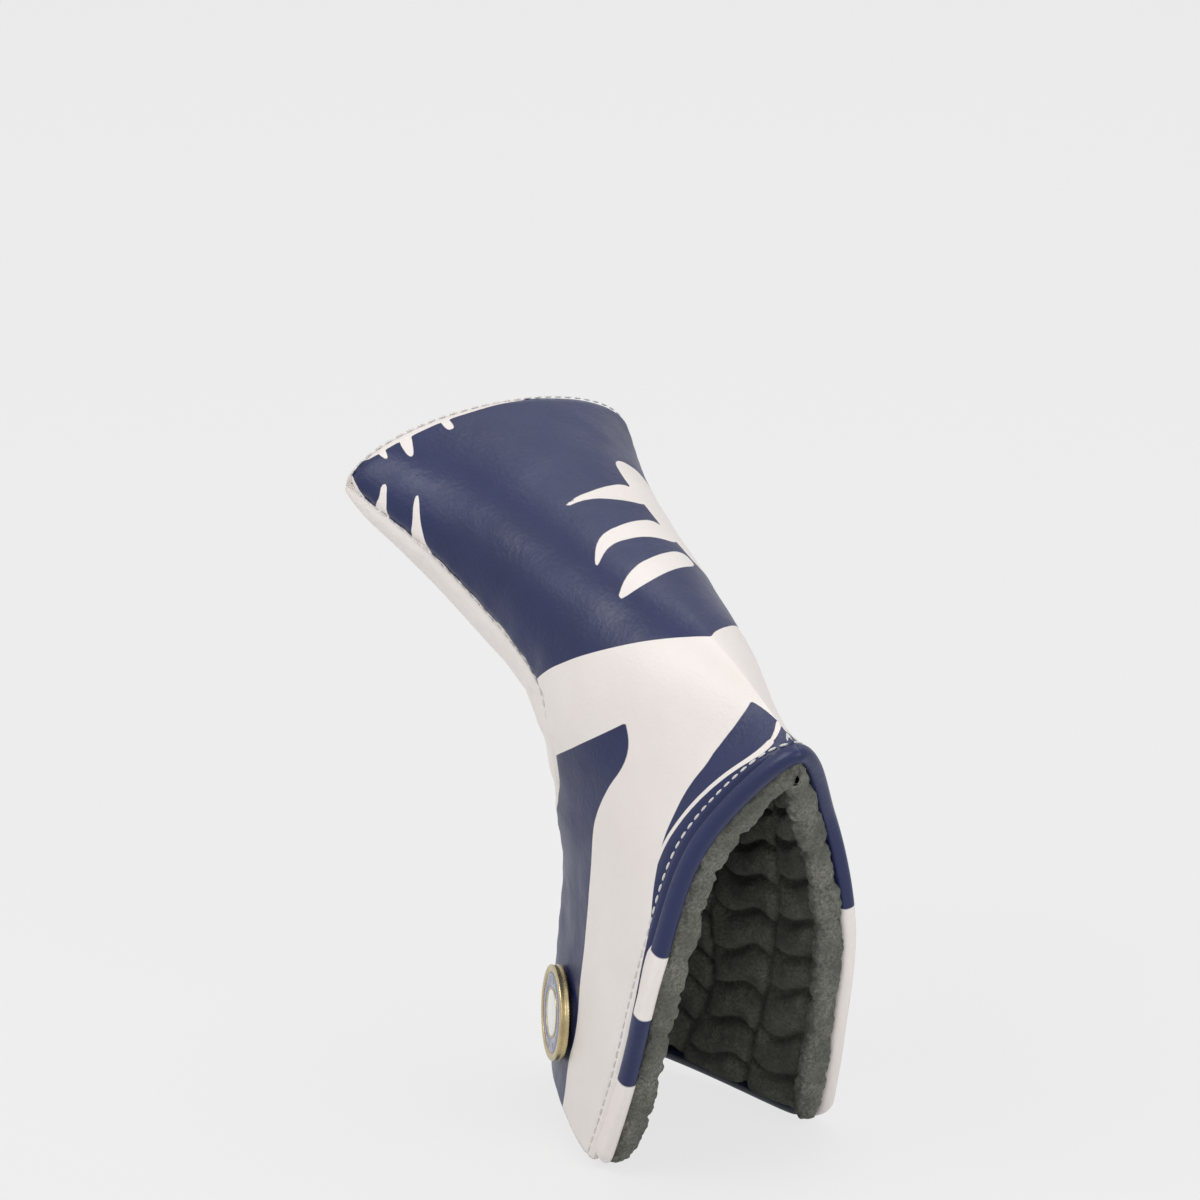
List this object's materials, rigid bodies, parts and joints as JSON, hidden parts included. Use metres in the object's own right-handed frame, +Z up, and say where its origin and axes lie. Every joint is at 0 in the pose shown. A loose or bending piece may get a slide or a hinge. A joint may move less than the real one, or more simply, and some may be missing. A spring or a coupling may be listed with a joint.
{
  "type": "putter head cover",
  "caption": "Padded head cover for a blade putter: closed foot pocket, open lined leg with two folding flaps, and a ball marker that pulls off.",
  "frame": {"origin": "on the putter shaft's axis, level with the tips of the flaps at the open leg end", "axes": "+Z runs up along the shaft to the head, the toe points to -X and the mouth faces +X, the near flap is at -Y"},
  "size_m": [0.1657, 0.0856, 0.1694],
  "materials": {
    "printed_leather": "navy and white coated leather, fine grain",
    "white_leather": "white coated leather, fine grain",
    "navy_welt": "navy coated leather, rolled",
    "hem_leather": "dark binding",
    "foam": "open-cell foam",
    "plush": "grey quilted plush",
    "plush_edge": "grey plush, brushed pile",
    "thread": "white polyester thread",
    "magnet": "nickel plated",
    "seat_steel": "nickel plated",
    "coin_brass": "polished, lightly worn",
    "enamel": "glossy blue and white enamel"
  },
  "bodies": {
    "root": {"crown_leather": "printed_leather", "crown_foam": "foam", "crown_lining": "plush", "sole_leather": "white_leather", "sole_foam": "foam", "sole_lining": "plush", "hood_welt": "navy_welt", "hood_plush_edge": "plush_edge", "hood_topstitch": "thread", "toe_seam": "thread", "near_side_seam": "thread", "far_side_seam": "thread"},
    "near_flap": {"near_flap_leather": "printed_leather", "near_flap_foam": "foam", "near_flap_lining": "plush", "near_welt": "navy_welt", "near_plush_edge": "plush_edge", "near_topstitch": "thread", "near_hem": "hem_leather", "near_magnet": "magnet", "marker_seat": "seat_steel", "seat_magnet": "magnet", "seat_rivet": "seat_steel", "rivet_washer": "seat_steel"},
    "far_flap": {"far_flap_leather": "printed_leather", "far_flap_foam": "foam", "far_flap_lining": "plush", "far_welt": "navy_welt", "far_plush_edge": "plush_edge", "far_topstitch": "thread", "far_hem": "hem_leather", "far_magnet": "magnet"},
    "ball_marker": {"marker_coin": "coin_brass", "marker_enamel": "enamel"}
  },
  "joints": [
    {"name": "near_flap_fold", "type": "hinge", "parent": "root", "child": "near_flap", "pos_m": [-0.04344, -0.0115, 0.03376], "axis": [0.0904, 0, 0.9959], "range_deg": [-10, 12]},
    {"name": "far_flap_fold", "type": "hinge", "parent": "root", "child": "far_flap", "pos_m": [-0.04344, 0.0115, 0.03376], "axis": [-0.0904, 0, -0.9959], "range_deg": [-10, 12]},
    {"name": "marker_pull", "type": "slide", "parent": "near_flap", "child": "ball_marker", "axis": [-0.3259, -0.9428, 0.0703], "range_m": [0, 0.03]}
  ]
}
